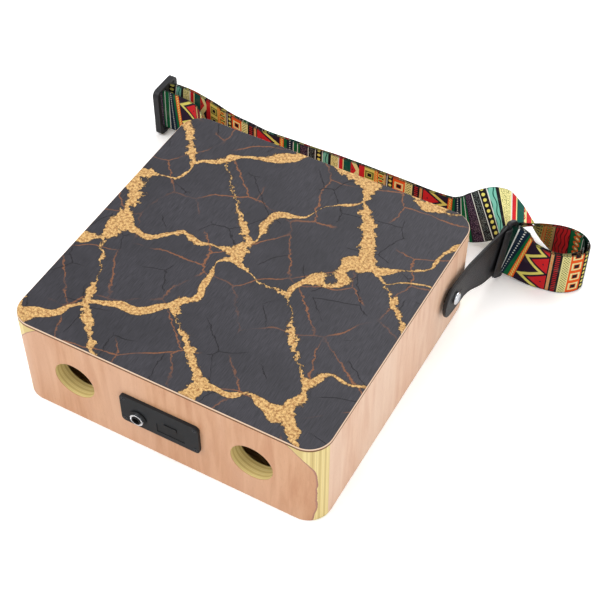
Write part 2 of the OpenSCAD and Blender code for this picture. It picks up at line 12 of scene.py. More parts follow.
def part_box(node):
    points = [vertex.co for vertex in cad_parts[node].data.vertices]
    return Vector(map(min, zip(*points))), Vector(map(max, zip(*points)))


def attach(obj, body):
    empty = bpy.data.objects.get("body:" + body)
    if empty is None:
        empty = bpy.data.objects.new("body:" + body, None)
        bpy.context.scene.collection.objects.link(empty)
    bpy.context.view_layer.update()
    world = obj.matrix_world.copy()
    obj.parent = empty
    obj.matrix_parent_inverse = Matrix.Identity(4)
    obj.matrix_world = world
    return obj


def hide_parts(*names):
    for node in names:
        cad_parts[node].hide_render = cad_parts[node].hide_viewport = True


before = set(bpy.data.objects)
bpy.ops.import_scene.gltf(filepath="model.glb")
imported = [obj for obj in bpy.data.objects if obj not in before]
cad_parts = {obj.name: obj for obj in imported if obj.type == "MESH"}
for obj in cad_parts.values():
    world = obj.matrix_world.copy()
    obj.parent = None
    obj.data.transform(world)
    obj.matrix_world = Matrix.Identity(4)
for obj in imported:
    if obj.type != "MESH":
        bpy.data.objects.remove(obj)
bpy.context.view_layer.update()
MM = 0.001


# ---------------------------------------------------------------- camera
# A long lens looks down on the box from its front right corner. The aim point is a little
# behind and above the middle of the underside, so that box and strap sit in the frame.
AIM = Vector((25.3, 45.4, 24.6)) * MM
AZIMUTH = math.radians(28.76)
ELEVATION = math.radians(48.49)
ROLL = math.radians(0.2)
DISTANCE = 1.2777

toward = Vector((math.sin(AZIMUTH) * math.cos(ELEVATION),
                 -math.cos(AZIMUTH) * math.cos(ELEVATION), math.sin(ELEVATION)))
right = Vector((math.cos(AZIMUTH), math.sin(AZIMUTH), 0))
upward = toward.cross(right)
turned_right = right * math.cos(ROLL) + upward * math.sin(ROLL)
turned_up = upward * math.cos(ROLL) - right * math.sin(ROLL)

lens = bpy.data.cameras.new("camera")
lens.sensor_width = 36
lens.lens = 83.3
lens.clip_end = 20
camera = bpy.data.objects.new("camera", lens)
bpy.context.scene.collection.objects.link(camera)
camera.matrix_world = Matrix.Translation(AIM + toward * DISTANCE) @ Matrix(
    (turned_right, turned_up, toward)).transposed().to_4x4()
bpy.context.scene.camera = camera


# ---------------------------------------------------------------- plywood walls
# Four walls of 15 mm plywood faced with a pink-tan sliced veneer. The corners are sanded
# round after gluing, which cuts through the face and bares the cream plies beneath.
def srgb(r, g, b):
    """The linear colour of an 8-bit screen colour: c / 12.92 near black, else a 2.4 power."""
    c = np.array([r, g, b]) / 255
    line = np.where(c <= 0.04045, c / 12.92, ((c + 0.055) / 1.055) ** 2.4)
    return (*line.tolist(), 1.0)


class Wire:
    """A shader socket that takes Python arithmetic: every operator adds one Math node."""

    def __init__(self, surface, socket):
        self.surface, self.socket = surface, socket

    def math(self, operation, *others):
        return self.surface.add("ShaderNodeMath", {"operation": operation}, self, *others)

    def __add__(self, other):
        return self.math("ADD", other)

    def __mul__(self, other):
        return self.math("MULTIPLY", other)

    def __sub__(self, other):
        return self.math("SUBTRACT", other)

    def __truediv__(self, other):
        return self.math("DIVIDE", other)

    def __rsub__(self, other):
        return self.surface.add("ShaderNodeMath", {"operation": "SUBTRACT"}, other, self)

    def __pow__(self, other):
        return self.math("POWER", other)

    __radd__, __rmul__ = __add__, __mul__

    def __abs__(self):
        return self.math("ABSOLUTE")

    def least(self, other):
        return self.math("MINIMUM", other)

    def most(self, other):
        return self.math("MAXIMUM", other)

    def repeat(self, period):
        """Remainder after whole periods, always from 0 to the period."""
        return self.math("FLOORED_MODULO", period)

    def ramp(self, low, high):
        """0 below low, 1 above high and a smooth step between; low may be the larger."""
        flip = low > high
        lo, hi, a, b = (high, low, 1.0, 0.0) if flip else (low, high, 0.0, 1.0)
        return self.surface.add("ShaderNodeMapRange", {"interpolation_type": "SMOOTHSTEP"},
                                self, lo, hi, a, b)


class Surface:
    """A material built from expressions, with the piece's own place in millimetres."""

    def __init__(self, name):
        self.material = bpy.data.materials.new(name)
        self.material.use_nodes = True
        self.nodes, self.links = self.material.node_tree.nodes, self.material.node_tree.links
        self.shader = self.nodes["Principled BSDF"]
        place = self.add("ShaderNodeTexCoord", {}, out="Object")
        self.x, self.y, self.z = (w * 1000 for w in self.split(place))

    def add(self, kind, settings, *values, out=0, **named):
        """Any node: its settings first, then its sockets by order or by name."""
        node = self.nodes.new(kind)
        for key, value in settings.items():
            setattr(node, key, value)
        pairs = list(zip(node.inputs, values))
        pairs += [(node.inputs[k.replace("_", " ").title()], v) for k, v in named.items()]
        for socket, value in pairs:
            if isinstance(value, Wire):
                self.links.new(value.socket, socket)
            elif value is not None:
                socket.default_value = value
        return Wire(self, node.outputs[out])

    def split(self, vector):
        node = self.nodes.new("ShaderNodeSeparateXYZ")
        self.links.new(vector.socket, node.inputs[0])
        return [Wire(self, out) for out in node.outputs]

    def at(self, x, y, z):
        return self.add("ShaderNodeCombineXYZ", {}, x, y, z)

    def noise(self, place, scale=1.0, detail=2.0, rough=0.5, warp=0.0):
        return self.add("ShaderNodeTexNoise", {"noise_dimensions": "3D"}, vector=place,
                        scale=scale, detail=detail, roughness=rough, distortion=warp)

    def mix(self, share, under, over):
        """Colour under, turning to colour over as share goes from 0 to 1."""
        node = self.nodes.new("ShaderNodeMix")
        node.data_type = "RGBA"
        for socket, value in zip((node.inputs[0], node.inputs[6], node.inputs[7]),
                                 (share, under, over)):
            if isinstance(value, Wire):
                self.links.new(value.socket, socket)
            else:
                socket.default_value = value
        return Wire(self, node.outputs[2])

    def bump(self, height, depth, strength=1.0):
        """Relief of the given height field, depth in millimetres."""
        return self.add("ShaderNodeBump", {}, strength=strength, distance=depth * MM,
                        height=height, out="Normal")

    def set(self, **sockets):
        for key, value in sockets.items():
            socket = self.shader.inputs[key.replace("_", " ").title().replace("Ior", "IOR")]
            if isinstance(value, Wire):
                self.links.new(value.socket, socket)
            else:
                socket.default_value = value
        return self


FRONT_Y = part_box("front_wall")[0].y / MM
REAR_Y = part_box("rear_wall")[1].y / MM
SIDE_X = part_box("right_wall")[1].x / MM
WALL_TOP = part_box("right_wall")[1].z / MM
WALL_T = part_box("front_wall")[1].y / MM - FRONT_Y
CREAM, PLY_SHADE = srgb(247, 226, 156), srgb(196, 164, 90)
VENEER_EDGE = srgb(150, 92, 88)


def plies(s, depth, layers=7):
    """Bare plywood by depth from the face: wide cream plies with thin darker glue lines
    between them, every second ply cross-grained and browner."""
    step = depth * (layers / WALL_T)
    wobble = s.noise(s.at(s.x * 0.05, s.y * 0.05, s.z * 0.02), 1.0, 2.0) * 0.25
    wave = abs((step + wobble).repeat(2.0) - 1.0)
    line = abs((step + wobble).repeat(1.0) - 0.5).ramp(0.40, 0.5)
    fibre = s.noise(s.at(s.x * 2.2, s.y * 2.2, s.z * 0.35), 1.0, 3.0)
    body = s.mix(wave.ramp(0.35, 0.65) * 0.42 + fibre * 0.16, CREAM, PLY_SHADE)
    return s.mix(line * 0.4, body, srgb(150, 116, 60))


def face_grain(s, along, across, through, light, dark, streak):
    """Sliced veneer: long soft figure in waves along the grain, short pores as fine dark
    dashes, and a broad drift of tone from leaf to leaf."""
    drift = s.noise(s.at(along * 0.004, across * 0.016, through), 1.0, 2.0, 0.5, 0.4)
    figure = s.noise(s.at(along * 0.012, across * 0.11, through), 1.0, 4.0, 0.55, 0.6)
    pores = s.noise(s.at(along * 0.16, across * 2.4, through), 1.0, 3.0, 0.6)
    tone = s.mix(figure.ramp(0.30, 0.72), light, dark)
    tone = s.mix(drift.ramp(0.42, 0.66) * 0.55, tone, streak)
    return s.mix(pores.ramp(0.56, 0.72) * 0.28, tone, srgb(150, 98, 66)), pores


def wall_surface(name, faces_front, light, dark, streak):
    """A wall: veneer on its outer face, plies wherever the wood is cut or sanded through.
    On the front and rear the veneer stops in a barrel-shaped line before the corners."""
    s = Surface(name)
    wander = s.noise(s.at(s.x * 0.08, s.y * 0.08, s.z * 0.12), 1.0, 4.0)
    if faces_front:
        depth = (FRONT_Y * -1.0) - abs(s.y)
        top = ((s.z - 58.0) / (WALL_TOP - 58.0)).most(0.0)
        foot = ((26.0 - s.z) / 26.0).most(0.0)
        reach = 144.4 - top ** 2.3 * 24.0 - foot ** 2.0 * 3.0
        past = abs(s.x) - reach + (wander - 0.5) * 2.4
        along, across = s.z + s.x * 0.10, s.x
    else:
        depth = SIDE_X - abs(s.x)
        past = abs(s.y) - REAR_Y
        along, across = s.z - s.y * 0.04, s.y
    veneer, pores = face_grain(s, along, across, depth * 0.02, light, dark, streak)
    cut = depth.ramp(0.45, 0.6)
    if faces_front:
        cut = cut * abs(s.x).ramp(122.0, 121.0)
    bare = past.ramp(-0.15, 0.15).most(cut)
    rim = past.ramp(-1.7, -0.2) * (1.0 - cut)
    edge_share = rim * (0.75 if faces_front else 0.25)
    colour = s.mix(edge_share, veneer, VENEER_EDGE)
    colour = s.mix(bare, colour, plies(s, depth))
    relief = pores * 0.5 + wander * 0.2
    s.set(base_color=colour, roughness=pores * 0.16 + bare * 0.12 + 0.36,
          normal=s.bump(relief, 0.05), coat_roughness=0.25)
    s.shader.inputs["Coat Weight"].default_value = 0.12
    return s.material


def softened(node, width, segments=3, angle=30, name=None):
    """A copy of a CAD node with its crisp edges rounded over: doubles merged, flat faces
    joined, a bevel on every edge sharper than the angle, and normals weighted by area."""
    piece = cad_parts[node].copy()
    piece.data = piece.data.copy()
    piece.parent = None
    piece.name = name or node + "_finished"
    for key in list(piece.keys()):
        del piece[key]
    piece.hide_render = False
    bpy.context.scene.collection.objects.link(piece)
    shell = bmesh.new()
    shell.from_mesh(piece.data)
    bmesh.ops.remove_doubles(shell, verts=shell.verts, dist=2e-6)
    bmesh.ops.dissolve_limit(shell, angle_limit=math.radians(0.5), verts=shell.verts,
                             edges=shell.edges, delimit={"NORMAL"})
    for face in shell.faces:
        face.smooth = True
    shell.to_mesh(piece.data)
    shell.free()
    if "custom_normal" in piece.data.attributes:
        piece.data.attributes.remove(piece.data.attributes["custom_normal"])
    bevel = piece.modifiers.new("round_over", "BEVEL")
    bevel.width, bevel.segments = width * MM, segments
    bevel.limit_method, bevel.angle_limit = "ANGLE", math.radians(angle)
    bevel.miter_outer = "MITER_ARC"
    weigh = piece.modifiers.new("flat_faces", "WEIGHTED_NORMAL")
    weigh.weight = 80
    piece.data.materials.clear()
    return piece


def fit_out(piece, body, material=None, nodes=()):
    """Gives a new piece its material and body, and hides the CAD nodes that it stands for."""
    if material:
        piece.data.materials.clear()
        piece.data.materials.append(material)
    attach(piece, body)
    if nodes:
        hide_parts(*nodes)
    return piece


def dress(node, material):
    """Gives a CAD node that stays in view a better material."""
    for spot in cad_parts[node].material_slots:
        spot.material = material


# The side walls get a lighter copy of the front's veneer colours. The difference between the two
# is painted light on the sides and painted shade on the front and rear.
FRONT_WOOD_SHADED_COPY = wall_surface("veneer_front_shaded_copy", True, srgb(224, 172, 132), srgb(205, 146, 105),
                          srgb(231, 184, 150))
SIDE_WOOD_LIT_COPY = wall_surface("veneer_side_lit_copy", False, srgb(238, 198, 168), srgb(222, 172, 138),
                         srgb(243, 212, 186))
for wall, wood, wall_slot in (("front_wall", FRONT_WOOD_SHADED_COPY, "face_veneer"),
                              ("rear_wall", FRONT_WOOD_SHADED_COPY, "face_veneer"),
                              ("left_wall", SIDE_WOOD_LIT_COPY, "side_veneer"),
                              ("right_wall", SIDE_WOOD_LIT_COPY, "side_veneer")):
    fit_out(softened(wall, 0.5), "box", wood, [wall])


# ---------------------------------------------------------------- playing board
# Thin birch ply, printed slate grey with a net of gilded seams and fine black cracks, then
# rubbed matt. Its chamfered rim is bare wood; it is glued down on the four walls.
s = Surface("printed_board")
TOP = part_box("tapa")[1].z / MM
TAPA_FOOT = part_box("tapa")[0].z / MM
drop = TOP - s.z
flat = s.at(s.x * 0.01, s.y * 0.01, 0.0)


def crackle(s, scale, shift, bend, seed):
    """Distance in mm from the edges of a net of cells, each edge bent by broad and fine
    noise so that it wanders and frays."""
    broad = s.noise(s.at(s.x * 0.012 + seed, s.y * 0.012, seed), 1.0, 2.0)
    frayed = s.noise(s.at(s.x * 0.13, s.y * 0.13 + seed, seed), 1.0, 5.0, 0.65)
    u = s.x / scale + shift[0] + (broad - 0.5) * bend + (frayed - 0.5) * 0.16
    v = s.y / scale + shift[1] - (broad - 0.5) * bend + (frayed - 0.5) * 0.11
    net = s.add("ShaderNodeTexVoronoi", {"voronoi_dimensions": "2D",
                                         "feature": "DISTANCE_TO_EDGE"},
                vector=s.at(u, v, 0.0), scale=1.0, randomness=1.0)
    return net * scale


seam_edge = crackle(s, 92.0, (0.35, 0.1), 0.9, 3.0)
swell = s.noise(s.at(s.x * 0.020, s.y * 0.020, 7.0), 1.0, 2.0)
crumbs = s.noise(s.at(s.x * 0.42, s.y * 0.42, 1.0), 1.0, 6.0, 0.7)
grit = s.noise(s.at(s.x * 1.5, s.y * 1.5, 2.0), 1.0, 4.0, 0.7)
width = swell.ramp(0.36, 0.62) * 5.2 + (crumbs - 0.5) * 4.2 + 0.5
seam = (width - seam_edge).ramp(-0.35, 0.5)
copper_edge = crackle(s, 58.0, (0.8, 0.45), 0.7, 11.0)
copper = (0.75 - copper_edge + (crumbs - 0.5) * 2.4).ramp(-0.2, 0.4) * swell.ramp(0.60, 0.42)
hair_edge = crackle(s, 47.0, (0.2, 0.6), 0.6, 23.0)
hair_part = s.noise(s.at(s.x * 0.017, s.y * 0.017, 31.0), 1.0, 2.0).ramp(0.5, 0.54)
hair = (0.34 - hair_edge).ramp(-0.12, 0.14) * hair_part
grain = s.noise(s.at(s.x * 1.6, s.y * 0.085, 4.0), 1.0, 4.0, 0.62)
cloud = s.noise(s.at(s.x * 0.013, s.y * 0.013, 9.0), 1.0, 3.0)
weave = s.noise(s.at(s.x * 0.9, s.y * 0.35, 5.0), 1.0, 3.0, 0.6)
slate = s.mix(grain.ramp(0.3, 0.72), srgb(38, 37, 42), srgb(64, 62, 69))
slate = s.mix(cloud.ramp(0.35, 0.7) * 0.5, slate, srgb(35, 34, 39))
slate = s.mix(weave.ramp(0.58, 0.75) * 0.3, slate, srgb(22, 21, 25))
gold = s.mix(crumbs.ramp(0.36, 0.62), srgb(148, 98, 48), srgb(226, 184, 118))
gold = s.mix(grit.ramp(0.56, 0.70) * 0.75, gold, srgb(246, 217, 160))
gold = s.mix(grit.ramp(0.44, 0.34) * 0.8, gold, srgb(84, 52, 28))
shore = (width - seam_edge).ramp(-1.6, -0.1) * (1.0 - seam)
face = s.mix(shore * 0.55, slate, srgb(52, 40, 38))
face = s.mix(copper * 0.85, face, srgb(134, 84, 52))
face = s.mix(hair * 0.9, face, srgb(22, 19, 24))
face = s.mix(seam, face, gold)
rim = drop.ramp(0.18, 0.34)
skirt = drop.ramp(0.95, 1.15)
rim_grain = s.noise(s.at(s.x * 0.2, s.y * 0.2, s.z * 3.0), 1.0, 3.0)
rim_tone = s.mix(rim_grain, srgb(240, 214, 190), srgb(218, 182, 152))
side_tone = s.mix(rim_grain, srgb(146, 100, 58), srgb(108, 68, 36))
side_tone = s.mix(drop.ramp(2.6, 2.85), side_tone, srgb(58, 36, 22))
tapa_colour = s.mix(skirt, s.mix(rim, face, rim_tone), side_tone)
on_face = 1.0 - rim
lift = (seam * (crumbs * 0.9 + grit * 0.5 + 0.25) - hair * 0.5 - copper * 0.2) * on_face
fine = s.bump(grain * 0.55 + weave * 0.6, 0.09, 0.8)
relief = s.add("ShaderNodeBump", {}, strength=0.9, distance=0.75 * MM, height=lift,
               normal=fine, out="Normal")
s.set(base_color=tapa_colour, roughness=0.44 - seam * 0.06 + grain * 0.14, normal=relief)
s.shader.inputs["Specular IOR Level"].default_value = 0.3
fit_out(softened("tapa", 0.22, 2), "box", s.material, ["tapa"])


# ---------------------------------------------------------------- inside of the box
# Plain ply base let into a rebate, softwood glue blocks in the corners and the rail that
# carries the snares. All are raw sawn wood, glued, seen only through the sound ports.
def raw_wood(name, light, dark, run):
    """Unfinished softwood: long growth stripes along one axis, with a fuzzy sawn surface."""
    s = Surface(name)
    long_way = {"x": (0.01, 0.22, 0.22), "z": (0.22, 0.22, 0.01)}[run]
    place = s.at(s.x * long_way[0], s.y * long_way[1], s.z * long_way[2])
    rings = s.noise(place, 1.0, 3.0, 0.5, 0.6)
    fuzz = s.noise(s.at(s.x * 1.4, s.y * 1.4, s.z * 1.4), 1.0, 3.0)
    s.set(base_color=s.mix(rings.ramp(0.35, 0.65), light, dark), roughness=fuzz * 0.2 + 0.6,
          normal=s.bump(fuzz, 0.12))
    return s.material


dress("base_board", raw_wood("base_ply", srgb(214, 178, 128), srgb(186, 146, 98), "x"))
dress("snare_rail", raw_wood("pine_rail", srgb(226, 194, 146), srgb(198, 156, 104), "x"))
dress("corner_blocks", raw_wood("pine_block", srgb(226, 194, 146), srgb(200, 160, 110), "z"))


# ---------------------------------------------------------------- metal parts
# Snare plates and screws are zinc plated, the wires are drawn steel, the piezo disc and
# the jack's springs brass; the cell is stamped steel. All are small stock parts.
def metal(name, tone, rough, brush, scale=(0.15, 0.15, 3.0)):
    """Bare or plated metal with fine drawn lines and faint cloudy tarnish."""
    s = Surface(name)
    lines = s.noise(s.at(s.x * scale[0], s.y * scale[1], s.z * scale[2]), 1.0, 3.0, 0.6)
    tarnish = s.noise(s.at(s.x * 0.25, s.y * 0.25, s.z * 0.25), 1.0, 3.0)
    dull = tuple(c * 0.78 for c in tone[:3]) + (1.0,)
    s.set(base_color=s.mix(tarnish.ramp(0.4, 0.75) * 0.6, tone, dull), metallic=1.0,
          roughness=lines * brush + tarnish * 0.08 + rough, normal=s.bump(lines, 0.01))
    return s.material


zinc = metal("zinc_plate", srgb(205, 207, 212), 0.22, 0.12)
for part in ("snare_plates", "snare_screws"):
    dress(part, zinc)
dress("snare_wires", metal("snare_steel", srgb(214, 216, 220), 0.16, 0.1, (3.0, 0.1, 3.0)))
dress("coin_cell", metal("cell_steel", srgb(208, 209, 212), 0.24, 0.14, (0.1, 3.0, 0.1)))
brass = metal("rolled_brass", srgb(222, 184, 98), 0.25, 0.14)
for part in ("piezo_disc", "jack_springs", "cell_contacts"):
    dress(part, brass)


# ---------------------------------------------------------------- lead and circuit board
# A thin screened lead runs from the piezo disc to the preamplifier, held up by two nylon
# saddle clips. The small green circuit board slides on ledges inside the pickup case.
def moulded(name, tone, rough, texture=0.03, speck=1.0):
    """Moulded plastic: fine even spark texture and a trace of handling haze."""
    s = Surface(name)
    grain = s.noise(s.at(s.x * 2.6, s.y * 2.6, s.z * 2.6), 1.0, 3.0, 0.6)
    haze = s.noise(s.at(s.x * 0.05, s.y * 0.05, s.z * 0.05), 1.0, 3.0)
    pale = tuple(c * 1.35 + 0.004 for c in tone[:3]) + (1.0,)
    s.set(base_color=s.mix(haze.ramp(0.4, 0.7) * 0.5 + grain * 0.2 * speck, tone, pale),
          roughness=rough + haze * 0.1 + grain * 0.06, normal=s.bump(grain, texture))
    s.shader.inputs["Specular IOR Level"].default_value = 0.25
    return s.material


dress("piezo_lead", moulded("lead_jacket", srgb(38, 38, 42), 0.42))
dress("lead_clips", moulded("clip_nylon", srgb(226, 226, 220), 0.45))
s = Surface("circuit_green")
tracks = (abs((s.x * 0.5).repeat(1.0) - 0.5).ramp(0.30, 0.36)
          * s.noise(s.at(s.x * 0.16, s.y * 0.16, 0.0), 1.0, 1.0).ramp(0.5, 0.52))
part_top = (s.z - (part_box("circuit_board")[0].z / MM + 1.3)).ramp(0.0, 0.1)
board_tone = s.mix(part_top, s.mix(tracks, srgb(28, 96, 58), srgb(60, 142, 88)),
                   srgb(34, 34, 38))
s.set(base_color=board_tone, roughness=0.35 + part_top * 0.2, normal=s.bump(tracks, 0.03))
dress("circuit_board", s.material)


# ---------------------------------------------------------------- pickup
# The front plate and case are moulded in charcoal plastic with a fine spark texture. Four
# blackened screws hold the plate to the wall; the battery drawer slides in beside the jack.
charcoal = moulded("pickup_charcoal", srgb(26, 28, 31), 0.48, 0.035)
fit_out(softened("pickup_plate", 0.45, 3), "box", charcoal,
        ["pickup_plate"])
dress("pickup_case", moulded("case_black", srgb(40, 40, 44), 0.5))
dress("jack_body", moulded("jack_black", srgb(32, 32, 35), 0.4))
drawer_black = moulded("drawer_charcoal", srgb(20, 21, 23), 0.46, 0.035)
fit_out(softened("battery_drawer", 0.3, 2), "drawer", drawer_black,
        ["battery_drawer"])
screw_black = metal("blackened_screw", srgb(70, 72, 76), 0.34, 0.1)
fit_out(softened("plate_screws", 0.15, 2), "box", screw_black,
        ["plate_screws"])


# ---------------------------------------------------------------- jack socket
# A quarter-inch socket: black moulded sleeve and a round chrome nut on a black fibre
# washer. The nut has two spanner slots and is done up by hand.
CHROME = metal("chrome", srgb(232, 234, 238), 0.04, 0.03, (0.6, 0.6, 0.6))
fit_out(softened("jack_nut", 0.22, 3), "box", CHROME, ["jack_nut"])
FIBRE = moulded("washer_fibre", srgb(14, 14, 15), 0.5)
for ring_part in ("jack_washer", "jack_sleeve"):
    fit_out(softened(ring_part, 0.2, 2), "box", FIBRE, [ring_part])


# ---------------------------------------------------------------- strap buttons
# Turned brass buttons, chromium plated, screwed into the side walls through the middle of
# a pressed felt washer. The leather tab snaps over the domed head.
for knob in ("button_left", "button_right"):
    fit_out(softened(knob, 0.25, 3), "box", CHROME, [knob])
fit_out(softened("button_screws", 0.15, 2), "box", zinc, ["button_screws"])
s = Surface("pressed_felt")
hairs = s.noise(s.at(s.x * 2.2, s.y * 2.2, s.z * 2.2), 1.0, 5.0, 0.75, 1.0)
s.set(base_color=s.mix(hairs, srgb(20, 20, 21), srgb(52, 52, 54)), roughness=0.95,
      normal=s.bump(hairs, 0.2))
dress("felt_washers", s.material)


# ---------------------------------------------------------------- ring and slider
# Moulded black nylon fittings, 50 mm wide inside: a plain rectangular ring that joins the
# leather to the webbing, and a three-bar slider that sets the strap's length.
fittings = moulded("fitting_nylon", srgb(34, 34, 37), 0.36, 0.02)
for fitting in ("strap_ring", "strap_slider"):
    fit_out(softened(fitting, 1.1, 4), "strap", fittings, [fitting])


# ---------------------------------------------------------------- woven strap
# One strip of 50 mm polyester webbing, printed on both faces with bands of folk patterns.
# Its end is sewn at the slider; it runs to the ring and back beside itself, then goes
# round the slider's middle bar and on to the left leather tab.
STRAP_HALF = 25.0
CLOTH_HALF = 0.7


def spline(points, steps):
    """Catmull-Rom curve through rows of numbers: each span blends its four nearest rows
    with the cubic weights of t, t squared and t cubed."""
    p = np.vstack([points[:1], points, points[-1:]])
    t = np.linspace(0, 1, steps, endpoint=False)[None, :, None]
    a, b, c, d = (p[k:len(p) - 3 + k, None, :] for k in range(4))
    curve = 0.5 * (2 * b + (c - a) * t + (2 * a - 5 * b + 4 * c - d) * t ** 2
                   + (3 * b - a - 3 * c + d) * t ** 3)
    return np.vstack([curve.reshape(-1, points.shape[1]), points[-1:]])


def unit(v):
    """Rows scaled to length one."""
    return v / np.linalg.norm(v, axis=1, keepdims=True)


def run_frames(route):
    """Centres of a route, with the directions across and through a band whose lean turns
    it about its own run: across = cos(lean) up + sin(lean) side."""
    at = route[:, :3]
    along = unit(np.gradient(at, axis=0))
    side = unit(np.cross(along, (0, 0, 1)))
    lean = np.radians(route[:, 3])[:, None]
    across = np.cos(lean) * np.cross(side, along) + np.sin(lean) * side
    return at, across, unit(np.cross(along, across))


def tube_mesh(name, rings, row_values=None):
    """A closed skin over rings of points: quads between rings, one polygon at each end,
    and the whole turned inside out if its signed volume comes out negative."""
    rows, around = rings.shape[:2]
    i, k = np.meshgrid(np.arange(rows - 1), np.arange(around), indexing="ij")
    nxt = (k + 1) % around
    quads = np.stack([i * around + k, i * around + nxt, (i + 1) * around + nxt,
                      (i + 1) * around + k], axis=2).reshape(-1, 4)
    flat = rings.reshape(-1, 3)
    p = flat[quads]
    volume = np.einsum("ij,ij->i", p[:, 0], np.cross(p[:, 1], p[:, 2])).sum() + np.einsum(
        "ij,ij->i", p[:, 0], np.cross(p[:, 2], p[:, 3])).sum()
    first, last = np.arange(around)[::-1], (rows - 1) * around + np.arange(around)
    if volume < 0:
        quads, first, last = quads[:, ::-1], first[::-1], last[::-1]
    mesh = bpy.data.meshes.new(name)
    corners = np.concatenate([quads.ravel(), first, last]).astype(np.int32)
    starts = np.concatenate([np.arange(len(quads)) * 4,
                             [len(quads) * 4, len(quads) * 4 + around]]).astype(np.int32)
    mesh.vertices.add(len(flat))
    mesh.vertices.foreach_set("co", (flat * MM).astype(np.float32).ravel())
    mesh.loops.add(len(corners))
    mesh.loops.foreach_set("vertex_index", corners)
    mesh.polygons.add(len(starts))
    mesh.polygons.foreach_set("loop_start", starts)
    mesh.update(calc_edges=True)
    mesh.validate()
    mesh.polygons.foreach_set("use_smooth", np.ones(len(mesh.polygons), bool))
    piece = bpy.data.objects.new(name, mesh)
    bpy.context.scene.collection.objects.link(piece)
    return piece, corners, volume < 0


# the route of the doubled run, ring to slider: x, y, z in millimetres and lean in degrees
main = spline(np.array([
    (176.2, 193.6, 28.2, -26), (181, 192.4, 27.2, -18), (188, 191, 25.9, -9),
    (197, 189.7, 25.3, -4), (210, 189.5, 25.3, 0), (223, 192, 25.3, 0), (234, 199, 25.3, 0),
    (239.5, 209, 25.3, 0), (236, 219, 25.3, 0), (226, 226, 25.3, 0), (212, 229.5, 25.3, -6),
    (196, 232, 26.8, -20), (182, 233.5, 29.8, -35), (172, 234.5, 33.8, -50),
    (162, 234, 38.8, -67), (152, 231, 42.3, -90), (142, 225.5, 39.8, -114),
    (131, 219.5, 33.3, -138), (119, 214.5, 27.8, -160), (107, 211.5, 25.6, -175),
    (94, 210.2, 25.3, -180),
    (60, 210, 25.3, -180), (20, 210, 25.3, -180), (-20, 209.5, 25.3, -180),
    (-60, 208, 25.3, -180), (-100, 206.5, 25.3, -180), (-120, 207.5, 25.3, -180),
    (-140, 210.5, 25.3, -180), (-160, 215, 25.3, -180), (-180, 220, 25.3, -180),
    (-198, 223, 26.3, -180), (-213, 222, 27.3, -180), (-224, 219.6, 28.8, -180)], float), 14)
at, across, through = run_frames(main)
walked = np.concatenate([[0], np.cumsum(np.linalg.norm(np.diff(at, axis=0), axis=1))])


def bump_at(place, middle, spread):
    """A soft bell: exp of minus the squared distance from the middle over the spread."""
    return np.exp(-((place - middle) / spread) ** 2)


# the inner layer hangs away from the outer one in the loop's turn and the half turn
apart = (0.95 + 1.6 * bump_at(walked, 72, 20) + 1.2 * bump_at(walked, 168, 16)
         + 0.5 * bump_at(walked, 455, 30) + 0.25 * np.sin(walked / 17.0) ** 2)[:, None]
swell = (0.35 * np.sin(walked / 31.0) * bump_at(walked, 320, 110))[:, None]
outer_run = at + through * (0.95 + swell)
inner_run = at - through * (2 * apart - 0.95 - swell)
inner_run[:, 2] -= 7.5 * bump_at(walked, 176, 15)

# round the ring's far bar: half a turn from the inner layer's side to the outer layer's
BAR_LEAN = math.radians(26)
bar_axis = np.array((0, math.sin(BAR_LEAN), math.cos(BAR_LEAN)))
bar_middle = np.array((166.7, 196.1, 27.7))
bar_out = unit(np.array([(math.cos(math.radians(-12)), math.sin(math.radians(-12)), 0.0)]))[0]
bar_out = unit(np.array([bar_out - bar_axis * (bar_out @ bar_axis)]))[0]
bar_side = np.cross(bar_axis, bar_out)
turn = np.radians(np.linspace(100, 260, 9))[:, None]
wrap = bar_middle + 4.1 * (np.cos(turn) * bar_out + np.sin(turn) * bar_side)
wrap_across = np.tile(bar_axis, (len(wrap), 1))

# round the slider's middle bar, then the single layer on to the left tab
slider_turn = np.array([(-229.6, 218.4, 28.6), (-231.6, 216.0, 28.5), (-232.1, 213.0, 28.5),
                        (-231.6, 210.0, 28.5), (-229.4, 207.9, 28.4)])
tail_route = np.array([(-222, 207.4, 28.4, 0), (-216, 207.8, 28.3, 0), (-202, 206, 29.3, 0),
                       (-188, 203, 30.3, 0), (-176, 197, 31.8, 0), (-166, 187.5, 33.2, 0),
                       (-161.4, 176, 35.1, 0), (-160.7, 165.8, 37.4, 0)], float)
tail_at, tail_across, _ = run_frames(spline(tail_route, 14))

strip = np.vstack([inner_run[::-7], wrap, outer_run[::7], slider_turn, tail_at[::7]])
strip_across = np.vstack([across[::-7], wrap_across, across[::7],
                          np.tile((0, 0, -1.0), (5, 1)), -tail_across[::7]])
strip = spline(np.hstack([strip, strip_across]), 10)
centre, across = strip[:, :3], unit(strip[:, 3:])
walked = np.concatenate([[0], np.cumsum(np.linalg.norm(np.diff(centre, axis=0), axis=1))])
RING_PLACE = walked[len(inner_run[::-7]) * 10 + 45]
STRIP_LENGTH = walked[-1]

# colours of the print
BLACK, NAVY, PLUM = (24, 22, 26), (14, 34, 52), (38, 22, 42)
GREEN, LEAF, TEAL = (4, 50, 38), (6, 96, 54), (120, 190, 170)
SCARLET, CRIMSON, ORANGE = (206, 34, 40), (120, 16, 28), (236, 92, 32)
YELLOW, CREAM_INK, TAN, WHITE = (226, 214, 108), (236, 226, 156), (206, 168, 112), (224, 226, 218)
OLIVE, PINE = (110, 118, 50), (10, 84, 70)
# motifs, in the order that the shader numbers them
PLAIN, DOTS, OVALS, ZIGZAG, BARS, MEANDER, SQUARES, DASHES, WAVES, SPECKS, CIRCLES = range(11)
